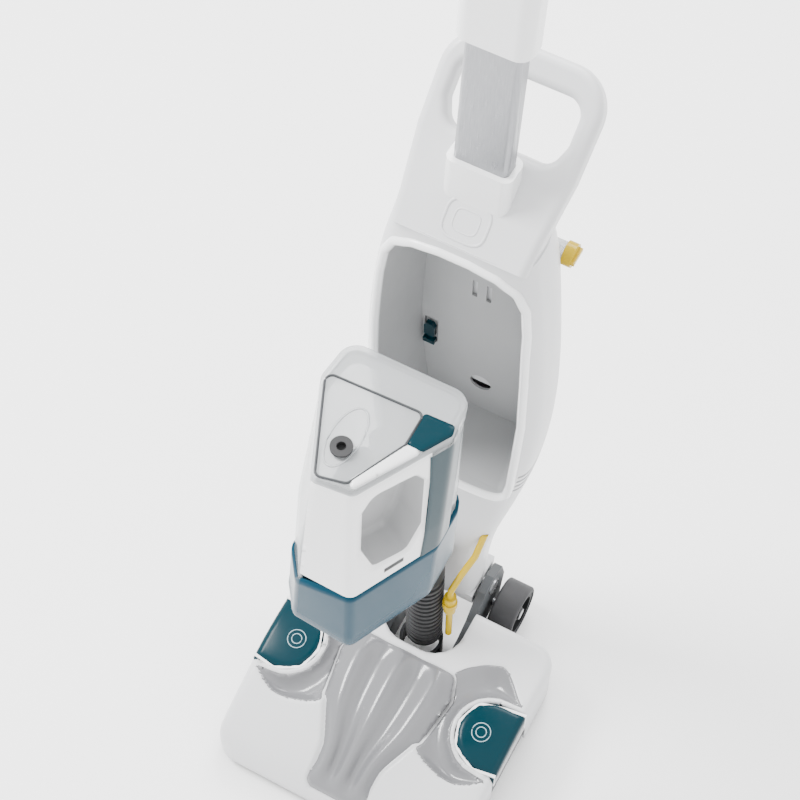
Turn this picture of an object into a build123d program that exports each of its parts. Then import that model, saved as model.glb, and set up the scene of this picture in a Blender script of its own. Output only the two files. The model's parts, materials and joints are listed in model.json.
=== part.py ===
from build123d import *

import os
from math import copysign, cos, pi, radians, sin

# Upright carpet washer, millimetres. X is across, -Y is the front, Z is up from the floor.
# The dirty-water tank stands drawn out of its bay, 140 in front of its docked place.
# The shapes below are drawn from the middle of the brush foot; keep() then moves every node by
# ORIGIN_Y, so that the written model's origin is under the middle of its own box.

# ---------------------------------------------------------------- driving dimensions
ORIGIN_Y = 75.4            # from the drawing's origin to the written one
FOOT_HALF = 146.0          # half the width of the foot
FOOT_FRONT = -130.0
FOOT_BACK = 122.0
FOOT_TOP = 88.0
HOOD_LOW = 12.0            # lower edge of the hood
WALL = 3.0                 # wall of the large mouldings
GAP = 0.5                  # parting gap between neighbouring mouldings
NOTCH_HALF = 46.0          # rear notch that the neck stands in
NOTCH_FRONT = 53.0

PIVOT_Y = 160.0            # recline pivot
PIVOT_Z = 80.0
PIVOT_R = 7.0
ARM_IN = 36.0              # yoke arms, from the centre plane
ARM_OUT = 45.5

WHEEL_R = 33.0
WHEEL_Y = 164.0
WHEEL_IN = 52.0
WHEEL_OUT = 82.0
AXLE_R = 4.0

BRUSH_Y = -74.0
BRUSH_Z = 28.5
BRUSH_R = 28.0
BRUSH_HALF = 112.0
MOTOR_Y = 10.0
MOTOR_Z = 40.0
BELT_X = -123.0            # middle of the belt
BELT_WIDE = 8.0
BRUSH_PULLEY_R = 15.0
MOTOR_PULLEY_R = 7.5

LATCH_X = 115.0

BODY_SPLIT = 184.0         # parting plane of the front and rear shells
BAY_FRONT = 122.0
BAY_BACK = 192.0
LINER = 2.5
CATCH_X = -53.5            # middle of the sprung catch
CLEAN_LOW = 440.0
CLEAN_TOP = 690.0
CLEAN_FRONT = 197.0

TANK_LOW = 398.0
TANK_TOP = 676.0
TANK_BASE_TOP = 496.0
TANK_WALL = 2.5
BAND_X = 50.5              # inner edge of the band on the tank

PANEL_Y = 138.0            # foot of the leaning top panel, on its front face
PANEL_Z = 765.0
PANEL_LEAN = 49.0          # degrees back from upright
PANEL_THICK = 24.0
PANEL_FOOT_Z = 744.5       # the panel ends here, just above the bay
PANEL_LONG = 147.0
POLE_LEAN = 5.0
POLE_Y = 166.0             # pole axis at POLE_Z
POLE_Z = 800.0
POLE_WIDE = 48.0
POLE_DEEP = 20.0

# height, middle y, half width, front depth, rear depth of the body's plan outlines
BODY_SECTIONS = (
    (88.0, 158.0, 32.0, 28.0, 28.0),
    (152.0, 156.0, 36.0, 34.0, 34.0),
    (234.0, 152.0, 46.0, 37.0, 50.0),
    (345.0, 148.0, 68.0, 37.0, 70.0),
    (440.0, 146.0, 83.0, 36.0, 79.0),
    (540.0, 146.0, 87.0, 36.0, 80.0),
    (620.0, 146.0, 83.0, 36.0, 78.0),
    (700.0, 148.0, 74.0, 33.0, 75.0),
    (752.0, 152.0, 64.0, 30.0, 58.0),
)
OUTLINE_POINTS = 20


# ---------------------------------------------------------------- helpers
def block(low, high):
    """Box between two corners."""
    size = [b - a for a, b in zip(low, high)]
    middle = [(a + b) / 2 for a, b in zip(low, high)]
    return Pos(*middle) * Box(*size)


def rod_x(radius, x0, x1, y, z):
    """Round bar along X."""
    return Pos((x0 + x1) / 2, y, z) * Rot(0, 90, 0) * Cylinder(radius, abs(x1 - x0))


def rod_y(radius, y0, y1, x, z):
    """Round bar along Y."""
    return Pos(x, (y0 + y1) / 2, z) * Rot(90, 0, 0) * Cylinder(radius, abs(y1 - y0))


def rod_z(radius, z0, z1, x, y):
    """Round bar along Z."""
    return Pos(x, y, (z0 + z1) / 2) * Cylinder(radius, abs(z1 - z0))


def slab_x(points, x0, x1, corner=0.0):
    """Side outline of (y, z) points, pulled along X."""
    face = make_face(Polyline(*points, close=True))
    if corner:
        face = fillet(face.vertices(), corner)
    return extrude(Plane.YZ.offset(x0) * face, x1 - x0)


def slab_y(points, y0, y1, corner=0.0):
    """Front outline of (x, z) points, pulled along Y."""
    face = make_face(Polyline(*points, close=True))
    if corner:
        face = fillet(face.vertices(), corner)
    plane = Plane(origin=(0, y1, 0), x_dir=(1, 0, 0), z_dir=(0, -1, 0))
    return extrude(plane * face, y1 - y0)


def slab_z(points, z0, z1, corner=0.0):
    """Plan outline of (x, y) points, pulled along Z."""
    face = make_face(Polyline(*points, close=True))
    if corner:
        face = fillet(face.vertices(), corner)
    return extrude(Plane.XY.offset(z0) * face, z1 - z0)


def mirrored(points):
    """Right-hand half of an outline, closed by its mirror image."""
    return list(points) + [(-x, y) for x, y in reversed(points)]


def keep(name, shape):
    """Write one node."""
    solids = shape.solids()
    joined = solids[0] if len(solids) == 1 else Compound(children=list(solids))
    joined = Pos(0, -ORIGIN_Y, 0) * joined
    joined.label = name
    export_step(joined, f"parts/{name}.step")


# ---------------------------------------------------------------- the body's skin
def body_outline(z, middle, half, front, rear, inset=0.0):
    """Plan outline: squarish in front, elliptical behind."""
    points = []
    for step in range(OUTLINE_POINTS):
        turn = 2 * pi * step / OUTLINE_POINTS
        c, s = cos(turn), sin(turn)
        power, depth = (0.5, front) if s < 0 else (0.95, rear)
        x = (half - inset) * copysign(abs(c) ** power, c)
        y = (depth - inset) * copysign(abs(s) ** power, s)
        points.append((x, middle + y))
    return Plane.XY.offset(z) * make_face(Spline(*points, periodic=True))


def body_solid(inset=0.0, first=0, cap=0.0):
    """Solid inside the body's skin, drawn in by inset, from section first upward."""
    faces = []
    for z, middle, half, front, rear in BODY_SECTIONS[first:]:
        last = z == BODY_SECTIONS[-1][0]
        height = z - cap if last else z
        faces.append(body_outline(height, middle, half, front, rear, inset))
    return loft(faces)


def panel_plane(along=0.0, depth=0.0):
    """Frame on the leaning panel's front face: x across, y up the panel, z out of its front."""
    lean = radians(PANEL_LEAN)
    y = PANEL_Y + along * sin(lean) + depth * cos(lean)
    z = PANEL_Z + along * cos(lean) - depth * sin(lean)
    return Plane(origin=(0, y, z), x_dir=(1, 0, 0), z_dir=(0, -cos(lean), sin(lean)))


def pole_plane(along=0.0):
    """Frame on the pole's axis: x across, y to the rear, z up the pole."""
    lean = radians(POLE_LEAN)
    y = POLE_Y + along * sin(lean)
    z = POLE_Z + along * cos(lean)
    return Plane(origin=(0, y, z), x_dir=(1, 0, 0), z_dir=(0, sin(lean), cos(lean)))


def carry_handle():
    """Leaning panel with its carry loop."""
    outline = mirrored(((61, -22), (63, 6), (69, 60), (70, 108), (69, PANEL_LONG)))
    face = make_face(Polyline(*outline, close=True))
    face = fillet(face.vertices().sort_by(Axis.Y)[-2:], 36)
    hole = make_face(Polyline(*mirrored(((45, 66), (53, 86), (53, 122))), close=True))
    hole = fillet(hole.vertices(), 15)
    plate = extrude(panel_plane() * (face - hole), -PANEL_THICK)
    rims = [e for e in plate.edges() if e.length > 20]
    front = panel_plane()
    soft = [e for e in rims if on_panel(front, e)]
    panel = fillet(soft, 7) - block((-100, 0, 700), (100, 300, PANEL_FOOT_Z))
    return panel - pole_bore()


def pole_bore():
    """Room for the pole's lower end."""
    return extrude(pole_plane(-16) * RectangleRounded(POLE_WIDE, POLE_DEEP, 5), 60)


def on_panel(front, edge):
    """True for an edge in the panel's front or rear face above the neck."""
    ends = [front.to_local_coords(edge @ t) for t in (0.0, 0.5, 1.0)]
    flat = all(abs(p.Z) < 0.01 for p in ends) or all(abs(p.Z + PANEL_THICK) < 0.01 for p in ends)
    return flat and all(p.Y > 5.9 for p in ends)


BAY_MOUTH = ((65, 383), (69, 412), (72, 469), (74, 530), (72.5, 600), (69, 672), (65, 704),
             (56, 724), (38, 735), (14, 739))
BAY_REAR = ((53, 392), (58, 412), (64, 469), (66, 530), (63, 600), (58, 672), (53, 702),
            (44, 719), (30, 728), (14, 731))


def bay_face(grow, y):
    """Arched outline of the bay, grown or drawn in, in the plane at y."""
    share = max(0.0, (y - BAY_FRONT) / (BAY_BACK - BAY_FRONT))
    points = [(x0 + (x1 - x0) * share, z0 + (z1 - z0) * share)
              for (x0, z0), (x1, z1) in zip(BAY_MOUTH, BAY_REAR)]
    face = make_face(Polyline(*mirrored(points), close=True))
    face = offset(face, grow, kind=Kind.INTERSECTION) if grow else face
    face = fillet(face.vertices().sort_by(Axis.Y)[:2], 12 + grow)
    face = fillet([v for v in face.vertices() if v.Y > 560], 14 + grow)
    return Plane(origin=(0, y, 0), x_dir=(1, 0, 0), z_dir=(0, -1, 0)) * face


def bay_solid(grow, y0, y1):
    """Straight block of the bay's mouth between two planes."""
    return Pos(0, y1 - BAY_FRONT, 0) * extrude(bay_face(grow, BAY_FRONT), y1 - y0)


def bay_tub(grow, y0, y1):
    """Tapered block of the bay, from its mouth's outline to its rear outline."""
    return loft([bay_face(grow, y0), bay_face(grow, y1)], ruled=True)


def bay_room(grow, y0, y1):
    """The whole bay: straight through the skin, then tapered."""
    return bay_solid(grow, y0, BAY_FRONT) + bay_tub(grow, BAY_FRONT, y1)


# ---------------------------------------------------------------- foot
HOOD_CURVE = ((FOOT_FRONT, 32), (-112, 47), (-75, 64), (-25, 80), (30, 87), (FOOT_BACK, FOOT_TOP))


def hood_profile(x0, x1, drop=0.0, low=HOOD_LOW):
    """Side profile of the foot, its top lowered by drop."""
    top = Spline(*[(y, z - drop) for y, z in HOOD_CURVE])
    sides = Polyline(top @ 1, (FOOT_BACK, low), (FOOT_FRONT, low), top @ 0)
    return extrude(Plane.YZ.offset(x0) * make_face([top, sides]), x1 - x0)


def foot_plan(inset, z0, z1, corner):
    """Plan block of the foot."""
    half, front, back = FOOT_HALF - inset, FOOT_FRONT + inset, FOOT_BACK - inset
    corners = ((-half, front), (half, front), (half, back), (-half, back))
    return slab_z(corners, z0, z1, corner)


def notch(grow, z0=-10.0, z1=140.0):
    """Rear notch for the neck, open to the back."""
    half, front = NOTCH_HALF + grow, NOTCH_FRONT - grow
    outline = ((-half, front), (half, front), (half, 260), (-half, 260))
    face = make_face(Polyline(*outline, close=True))
    face = fillet(face.vertices().sort_by(Axis.Y)[:2], 34)
    return extrude(Plane.XY.offset(z0) * face, z1 - z0)


def cover_plan(grow, z0, z1):
    """Plan block of the nozzle cover: narrow in front, flared behind."""
    outline = mirrored(((34, -122), (36, -80), (58, -34), (66, 20), (58, 44)))
    face = fillet(make_face(Polyline(*outline, close=True)).vertices(), 8)
    if grow:
        face = offset(face, grow)
    return extrude(Plane.XY.offset(z0) * face, z1 - z0)


def latch_plan(side, grow, z0, z1):
    """Plan block of a latch: flat outside, round inside."""
    outline = ((160, -32), (120, -38), (92, -24), (84, 2), (94, 30), (124, 38), (160, 43))
    points = [(side * x, y) for x, y in outline]
    face = fillet(make_face(Polyline(*points, close=True)).vertices(), 9)
    if grow:
        face = offset(face, grow)
    return extrude(Plane.XY.offset(z0) * face, z1 - z0)


def foot_hood():
    """Top moulding of the foot."""
    outer = hood_profile(-FOOT_HALF, FOOT_HALF) & foot_plan(0, 0, 100, 26)
    top = outer.edges().filter_by(lambda e: e.center().Z > 30 and abs(e.center().X) > 100)
    outer = fillet([e for e in top if e.length > 150], 7)
    inner = hood_profile(-FOOT_HALF, FOOT_HALF, WALL, 0) & foot_plan(WALL, -1, 100, 23)
    shell = outer - inner
    lip = (notch(WALL) - notch(0)) & hood_profile(-FOOT_HALF, FOOT_HALF, 0.4, 60)
    shell = shell - notch(0) + lip
    shell -= cover_plan(GAP, -5, 120)
    for side in (-1, 1):
        shell -= latch_plan(side, GAP, 40, 120)
    return shell


def latch_surround(side):
    """Tray that holds a latch, with a floor for its spring."""
    tray = latch_plan(side, -GAP / 4, 50, 100) & hood_profile(-FOOT_HALF, FOOT_HALF, 0.5)
    tray &= block((-FOOT_HALF, -200, 0), (FOOT_HALF, 200, 200))
    cup = latch_plan(side, -3, 53, 120)
    return tray - cup


def latch(side):
    """Push latch with a domed top; its outer face is flush with the foot's side."""
    body = latch_plan(side, -3.4, 64, 110) & hood_profile(-FOOT_HALF, FOOT_HALF, -2)
    body &= block((-FOOT_HALF + 0.1, -200, 0), (FOOT_HALF - 0.1, 200, 200))
    stem = rod_z(5, 59, 64, side * LATCH_X, 2)
    return fillet(body.edges().group_by(Axis.Z)[-1], 1.5) + stem


def coil(x, y, z0, z1, radius, turns):
    """Compression spring as a stack of rings."""
    rings = []
    for turn in range(turns):
        z = z0 + 0.8 + (z1 - z0 - 1.6) * turn / (turns - 1)
        rings.append(Pos(x, y, z) * Torus(radius, 0.7))
    post = rod_z(0.6, z0, z1, x + radius, y)
    spring = post
    for ring in rings:
        spring += ring
    return spring


def foot_chassis():
    """Frame of the foot: floor, end plates for the brush, and the rear yoke."""
    floor = foot_plan(WALL + GAP, 9, 12, 22)
    wall = foot_plan(WALL + GAP, 9, 26, 22) - foot_plan(2 * WALL + GAP, 0, 40, 19)
    frame = floor + wall
    frame -= block((-130, -112, 0), (118, -36, 20))
    frame -= notch(WALL, 0, 60)
    under = hood_profile(-FOOT_HALF, FOOT_HALF, WALL + GAP, 0)
    for x0, x1 in ((-117, -114), (114.5, 118)):
        frame += block((x0, -112, 9), (x1, -36, 50)) & under
    frame -= rod_x(4.2, -118, -113, BRUSH_Y, BRUSH_Z)
    frame -= rod_x(4.2, 114, 119, BRUSH_Y, BRUSH_Z)
    frame += block((-114, -33, 12), (118, -30, 48))
    frame += block((-31, -20, 12), (-25, 40, 74)) + block((40, -20, 12), (46, 40, 74))
    arm = ((32, 9), (180, 16), (190, 60), (182, 90), (160, 101), (140, 96), (114, 68),
           (94, 58), (32, 48))
    for side in (-1, 1):
        inner, outer = sorted((side * ARM_IN, side * ARM_OUT))
        frame += slab_x(arm, inner, outer)
    frame -= rod_x(PIVOT_R, -60, 60, PIVOT_Y, PIVOT_Z)
    frame -= rod_x(AXLE_R, -60, 60, WHEEL_Y, WHEEL_R)
    return frame - foot_screws()


def nozzle_cover():
    """Lift-off cover of the suction nozzle, domed along its middle."""
    plate = hood_profile(-90, 90, -3.0) - hood_profile(-90, 90, 0.5, 0)
    plate &= cover_plan(0, 0, 130)
    skirt = (cover_plan(0, 0, 130) - cover_plan(-2.5, 0, 130))
    skirt &= hood_profile(-90, 90, 0.4) - hood_profile(-90, 90, 4.5, 0)
    ridge = hood_profile(-90, 90, -6.0) - hood_profile(-90, 90, -2.9, 0)
    for x, wide in ((-40, 7), (-14, 6), (14, 6), (40, 7)):
        rear = 1.45 * x
        strip = ((0.6 * x - wide / 3, -108), (0.6 * x + wide / 3, -108),
                 (rear + wide / 2, 30), (rear - wide / 2, 30))
        plate += ridge & slab_z(strip, 0, 140) & cover_plan(-3, 0, 140)
    return plate + skirt


def nozzle_lip():
    """Suction lip across the front underside."""
    lip = block((-112, -124, 2), (112, -116, 9))
    slot = block((-104, -121.5, 0), (104, -118.5, 12))
    skids = block((-129, -110, 0), (-121, -40, 9)) + block((121, -110, 0), (129, -40, 9))
    return lip - slot + skids


def brush_core():
    """Core and journals of the brush roll."""
    core = rod_x(15, -BRUSH_HALF, BRUSH_HALF, BRUSH_Y, BRUSH_Z)
    shaft = rod_x(4.15, -129, 118, BRUSH_Y, BRUSH_Z)
    return core + shaft


def brush_bristles():
    """Four straight-sided rows of bristle tufts, set in a shallow helix."""
    tufts = None
    rows, steps = 4, 14
    for row in range(rows):
        for step in range(steps):
            x = -BRUSH_HALF + 10 + step * (2 * BRUSH_HALF - 20) / (steps - 1)
            turn = 360 * row / rows + 120 * step / (steps - 1)
            tuft = Pos(x, BRUSH_Y, BRUSH_Z) * Rot(turn, 0, 0)
            tuft *= Pos(0, 0, (15 + BRUSH_R) / 2)
            piece = tuft * Box(8, 5, BRUSH_R - 15.0)
            tufts = piece if tufts is None else tufts + piece
    return tufts - rod_x(15, -BRUSH_HALF, BRUSH_HALF, BRUSH_Y, BRUSH_Z)


def pulley(radius, bore, y, z):
    """Flanged belt pulley."""
    low, high = BELT_X - BELT_WIDE / 2, BELT_X + BELT_WIDE / 2
    wheel = rod_x(radius, low - 0.5, high + 0.5, y, z)
    for x in (low - 1.5, high + 0.5):
        wheel += rod_x(radius + 2.0, x, x + 1.0, y, z)
    return wheel - rod_x(bore, low - 3, high + 3, y, z)


def drive_belt():
    """Flat belt round both pulleys."""
    grow = 0.05
    x0, x1 = BELT_X - BELT_WIDE / 2, BELT_X + BELT_WIDE / 2

    def loop(extra):
        """Face round both pulleys, at a given distance outside them."""
        ends = Circle(BRUSH_PULLEY_R + extra)
        ends = Pos(BRUSH_Y, BRUSH_Z) * ends
        other = Pos(MOTOR_Y, MOTOR_Z) * Circle(MOTOR_PULLEY_R + extra)
        return make_hull((ends + other).edges())

    ring = loop(1.8) - loop(grow)
    return extrude(Plane.YZ.offset(x0) * ring, x1 - x0)


def brush_motor():
    """Brush motor with its shaft."""
    can = rod_x(17, -80, -34, MOTOR_Y, MOTOR_Z) + rod_x(7, -86, -80, MOTOR_Y, MOTOR_Z)
    feet = block((-74, MOTOR_Y - 14, 12), (-40, MOTOR_Y + 14, 28))
    return can + feet - rod_x(3.08, -120, -70, MOTOR_Y, MOTOR_Z)


def motor_pulley():
    """Drive pulley on the motor's shaft."""
    wheel = pulley(MOTOR_PULLEY_R, 2.9, MOTOR_Y, MOTOR_Z)
    return wheel + rod_x(3.0, -129, -71, MOTOR_Y, MOTOR_Z)


def spray_bar():
    """Bar behind the brush with its spray nozzles."""
    bar = rod_x(4, -78, 78, -26, 62)
    for x in (-66, -22, 22, 66):
        bar += rod_z(2.2, 52, 60, x, -26)
    return bar


def wheel_hub(side):
    """Wheel hub with a hollowed outer face."""
    hub = rod_x(WHEEL_R - 5, side * (WHEEL_IN + 1), side * (WHEEL_OUT - 1), WHEEL_Y, WHEEL_R)
    dish = rod_x(WHEEL_R - 11, side * (WHEEL_OUT - 9), side * WHEEL_OUT, WHEEL_Y, WHEEL_R)
    boss = rod_x(8, side * (WHEEL_OUT - 9.5), side * (WHEEL_OUT - 3), WHEEL_Y, WHEEL_R)
    return hub - dish + boss - rod_x(AXLE_R + 0.08, side * 40, side * 90, WHEEL_Y, WHEEL_R)


def tyre(side):
    """Soft tyre round a hub."""
    ring = rod_x(WHEEL_R, side * WHEEL_IN, side * WHEEL_OUT, WHEEL_Y, WHEEL_R)
    ring -= rod_x(WHEEL_R - 5, side * WHEEL_IN, side * WHEEL_OUT, WHEEL_Y, WHEEL_R)
    outside = [e for e in ring.edges().filter_by(GeomType.CIRCLE) if e.radius > WHEEL_R - 1]
    return fillet(outside, 3)


def wheel_axles():
    """Stub axles pressed into the yoke arms, with end caps."""
    pair = None
    for side in (-1, 1):
        stub = rod_x(AXLE_R, side * (ARM_IN + 0.5), side * (WHEEL_OUT - 2.5), WHEEL_Y, WHEEL_R)
        stub += rod_x(6.5, side * (WHEEL_OUT - 2.6), side * (WHEEL_OUT - 1), WHEEL_Y, WHEEL_R)
        pair = stub if pair is None else pair + stub
    return pair


def pivot_pins():
    """Recline pivot pins, headed on the outside."""
    pair = None
    for side in (-1, 1):
        pin = rod_x(PIVOT_R, side * 20, side * ARM_OUT, PIVOT_Y, PIVOT_Z)
        pin += rod_x(10, side * ARM_OUT, side * (ARM_OUT + 2), PIVOT_Y, PIVOT_Z)
        pair = pin if pair is None else pair + pin
    return pair


def hose_cuff():
    """Cuff of the suction path in the foot, below the neck hose."""
    cuff = rod_z(24, 30, 60, 0, 78) - rod_z(20.5, 20, 70, 0, 78)
    duct = block((-22, -18, 33), (22, 58, 57)) - block((-19.5, -30, 35.5), (19.5, 70, 54.5))
    return (duct - rod_z(22, 20, 70, 0, 78)) + (cuff - block((-19.5, 40, 35.5), (19.5, 70, 54.5)))


def foot_screws():
    """Screws that close the foot from below."""
    group = None
    for x, y in ((-132, -22), (132, -22), (-132, 100), (132, 100), (-70, 100), (70, 100)):
        screw = rod_z(3.4, 7.4, 9, x, y) + rod_z(1.6, 9, 12, x, y)
        group = screw if group is None else group + screw
    return group


# ---------------------------------------------------------------- upright body
def neck_cavity():
    """Room for the pivot pins in the body's foot."""
    return rod_x(PIVOT_R + 0.05, -50, 50, PIVOT_Y, PIVOT_Z)


def body_shells():
    """Front and rear shells, split at the parting plane."""
    skin = body_solid() - body_solid(WALL, 1, WALL)
    foot = slab_x(((132, 96), (134, 72), (146, 60), (174, 60), (186, 72), (188, 96)), -33, 33)
    foot &= block((-33, 120, 50), (33, 200, 92))
    skin = skin + foot - neck_cavity()
    skin -= carry_handle() + pole_socket() + solution_tube() + cord_gland() + pole_bore()
    screws = body_screws()
    ahead = block((-200, 0, 0), (200, BODY_SPLIT, 900))
    front = skin & ahead
    front -= bay_room(0.3, 0, BODY_SPLIT)
    front -= block((-12, 90, 220), (12, 128, 240))
    for x, z, y, skin_y in BODY_SCREWS:
        front += rod_y(4.5, skin_y, BODY_SPLIT, x, z)
        skin += rod_y(4.5, BODY_SPLIT, y - 2, x, z)
    front -= screws
    rear = skin - block((-200, 0, 0), (200, BODY_SPLIT, 900)) - screws
    rear -= bay_tub(GAP, BODY_SPLIT - 2, BAY_BACK + GAP)
    rear -= block((-100, CLEAN_FRONT - GAP, CLEAN_LOW - GAP), (100, 300, CLEAN_TOP + GAP))
    wall = body_solid(WALL + 0.02, 2, WALL) & block(
        (-100, 193, CLEAN_LOW - 4), (100, CLEAN_FRONT - 2 * GAP, CLEAN_TOP + 4))
    shelf = body_solid(WALL + 0.02, 2, WALL) & block(
        (-100, 193, CLEAN_LOW - 4), (100, 260, CLEAN_LOW - GAP))
    rear += wall + shelf
    for x, z in VENTS:
        front -= block((x - 14, 120, z - 2.2), (x + 14, 175, z + 2.2))
    return front, rear


VENTS = tuple((side * 80, z) for side in (-1, 1) for z in (400, 410, 420, 430))


def bay_liner():
    """Grey tub that lines the tank bay."""
    tub = bay_room(0, 100, BAY_BACK) - bay_room(-LINER, 90, BAY_BACK - LINER)
    tub &= body_solid(0.5)
    for x in (-14, 0):
        tub -= block((x, 180, 582), (x + 5, 200, 606))
    tub -= block((CATCH_X - 6.8, 186, 478), (CATCH_X + 6.8, 200, 514))
    port = rod_y(11, 180, 200, 0, 440)
    return tub - port


def bay_trim():
    """White bead round the mouth of the bay."""
    ring = bay_solid(3.5, 95, 130) - bay_solid(-3.0, 90, 135)
    return (ring & body_solid(-4)) - body_solid(-0.02)


def tank_catch():
    """Sprung catch in the rear wall of the bay: arched tab over a bar."""
    arch = ((-5.5, 492), (5.5, 492), (5.5, 506), (3, 511), (-3, 511), (-5.5, 506))
    tab = slab_y([(CATCH_X + x, z) for x, z in arch], 184.5, 189.4)
    bar = block((CATCH_X - 6, 183.5, 480), (CATCH_X + 6, 189.4, 486))
    stalk = block((CATCH_X - 3, 186.5, 484), (CATCH_X + 3, 189.4, 494))
    return tab + bar + stalk


def pole_socket_block():
    """Socket block that the pole stands in, before the panel is taken from it."""
    return extrude(pole_plane(-34) * RectangleRounded(58, 30, 8), 48)


def pole_socket():
    """Socket on the leaning panel, bored for the pole."""
    ahead = extrude(panel_plane() * Rectangle(400, 400), 100)
    block_part = (pole_socket_block() & ahead) - body_solid()
    return block_part - pole_bore()


def pole_tube():
    """Flat silver pole."""
    outer = RectangleRounded(POLE_WIDE - 0.2, POLE_DEEP - 0.2, 4.9)
    inner = RectangleRounded(POLE_WIDE - 3.4, POLE_DEEP - 3.4, 3.3)
    return extrude(pole_plane(-15.9) * (outer - inner), 200)


def handle_sleeve():
    """Sleeve that clamps the top of the pole."""
    body = extrude(pole_plane(146) * RectangleRounded(62, 34, 12), 74)
    body -= extrude(pole_plane(140) * RectangleRounded(POLE_WIDE, POLE_DEEP, 5), 44.2)
    return body - extrude(handle_frame(36, 34) * Circle(8.3), -6)


def handle_frame(back, up):
    """Frame on the handle's rear face: z out to the rear."""
    lean = radians(POLE_LEAN)
    base = pole_plane(146 + up)
    y = base.origin.Y + (back - 19) * cos(lean)
    z = base.origin.Z - (back - 19) * sin(lean)
    return Plane(origin=(0, y, z), x_dir=(1, 0, 0), z_dir=(0, cos(lean), -sin(lean)))


def side_frame(x, along=220.0):
    """Frame in the handle's side view: x to the rear, y up the pole, z across."""
    lean = radians(POLE_LEAN)
    base = pole_plane(along)
    return Plane(origin=(x, base.origin.Y, base.origin.Z),
                 x_dir=(0, cos(lean), -sin(lean)), z_dir=(1, 0, 0))


GRIP_HALF = 16.0


def handle_grip():
    """Closed grip loop with a slot for the trigger."""
    outline = ((-15, 0), (17, 0), (74, 18), (92, 50), (84, 98), (40, 116), (-6, 100))
    opening = ((14, 26), (54, 32), (66, 54), (60, 84), (34, 92), (12, 80))
    face = fillet(make_face(Polyline(*outline, close=True)).vertices().sort_by(Axis.Y)[2:], 14)
    hole = fillet(make_face(Polyline(*opening, close=True)).vertices(), 9)
    loop = extrude(side_frame(-GRIP_HALF) * (face - hole), 2 * GRIP_HALF)
    slot = ((50, 38), (74, 36), (74, 85), (54, 85))
    loop -= extrude(side_frame(-8.5) * make_face(Polyline(*slot, close=True)), 17)
    return loop - extrude(side_frame(-13) * (Pos(*TRIGGER_PIN) * Circle(2.0)), 26)


TRIGGER_PIN = (68.0, 78.0)


def trigger():
    """Trigger in the grip's rear leg, hung from its pin."""
    outline = ((62, 74), (70, 82), (72.5, 76), (67, 60), (64, 42), (54, 42), (57, 60))
    body = extrude(side_frame(-7.9) * make_face(Polyline(*outline, close=True)), 15.8)
    return body - extrude(side_frame(-10) * (Pos(*TRIGGER_PIN) * Circle(2.06)), 20)


def trigger_pin():
    """Pin of the trigger."""
    return extrude(side_frame(-13) * (Pos(*TRIGGER_PIN) * Circle(2.0)), 26)


def power_button():
    """Round push button on the back of the sleeve."""
    return extrude(handle_frame(33.6, 34) * Circle(7.9), 3.4)


def cord_hook():
    """Turning hook for the cord, behind the sleeve."""
    stem = extrude(handle_frame(36.3, 12) * Circle(5), 12)
    arm = extrude(handle_frame(46.3, 22) * RectangleRounded(10, 34, 4.5), 5)
    tip = extrude(handle_frame(51.0, 35) * RectangleRounded(10, 8, 3), 0.8)
    return stem + arm + tip


def fan_motor():
    """Suction motor."""
    can = rod_z(27, 252, 322, 0, 156) + rod_z(12, 238, 252, 0, 156)
    return can - rod_z(3.1, 300, 330, 0, 156)


def fan_housing():
    """Drum round the fan, with its inlet on top."""
    drum = rod_z(39, 330, 366, 0, 156) - rod_z(36.5, 332.5, 363.5, 0, 156)
    drum -= rod_z(14, 360, 370, 0, 156)
    legs = rod_z(26, 322.2, 330.2, 0, 156) - rod_z(20, 320, 334, 0, 156)
    return drum - rod_z(5, 325, 335, 0, 156) + legs


def impeller():
    """Suction fan on the motor's shaft."""
    wheel = rod_z(34, 338, 340.5, 0, 156) + rod_z(8, 336, 356, 0, 156)
    for blade in range(9):
        vane = Pos(0, 156, 0) * Rot(0, 0, 40 * blade) * Pos(20, 0, 346) * Rot(0, 0, 28) * Box(24, 2, 12)
        wheel += vane
    return wheel + rod_z(3.0, 301, 336, 0, 156)


def pump():
    """Solution pump below the motor."""
    body = block((-18, 146, 176), (18, 174, 204)) + rod_z(10, 204, 222, 0, 160)
    return body + rod_x(4, 18, 25, 156, 190)


def suction_duct():
    """Rigid elbow from the neck hose into the front of the body."""
    elbow = rod_z(20, 214, 246, 0, 84) + block((-15, 84, 217), (15, 130, 243))
    elbow -= rod_z(15.5, 200, 240, 0, 84) + block((-12, 84, 220), (12, 140, 240))
    return elbow - body_solid()


def neck_hose():
    """Ribbed black hose in front of the neck."""
    hose = rod_z(18, 62, 214, 0, 84)
    for ring in range(14):
        hose += rod_z(20.2, 68 + ring * 10, 73 + ring * 10, 0, 84)
    return hose - rod_z(15.5, 50, 220, 0, 84)


TUBE_X = 29.5


def solution_tube():
    """Clear tube down the right-hand front of the neck."""
    path = FilletPolyline((47, 121, 282), (44, 107, 252), (36, 92, 226), (TUBE_X, 84, 196), (TUBE_X, 84, 90), radius=16)
    return sweep(Plane(origin=path @ 0, z_dir=path % 0) * Circle(3.6), path=path)


def solution_fitting():
    """Yellow connector in the run of the solution tube."""
    barrel = rod_z(6.5, 150, 184, TUBE_X, 84) + rod_z(8, 163, 172, TUBE_X, 84)
    return barrel - rod_z(3.6, 140, 190, TUBE_X, 84)


def cord_gland():
    """Gland of the supply cord, low on the rear shell."""
    return rod_y(8, 198, 222, 0, 262) - rod_y(4, 190, 230, 0, 262)


# x, z, head y and the y where the boss starts in the front skin
BODY_SCREWS = ((-18, 130, 184.8, 127.5), (18, 130, 184.8, 127.5),
               (-34, 377, 210, 113.5), (34, 377, 210, 113.5))


def body_screws():
    """Screws that join the two shells from behind."""
    group = None
    for x, z, y, _ in BODY_SCREWS:
        screw = rod_y(3.2, y, y + 2.4, x, z) + rod_y(1.5, 170, y, x, z)
        group = screw if group is None else group + screw
    return group


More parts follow.
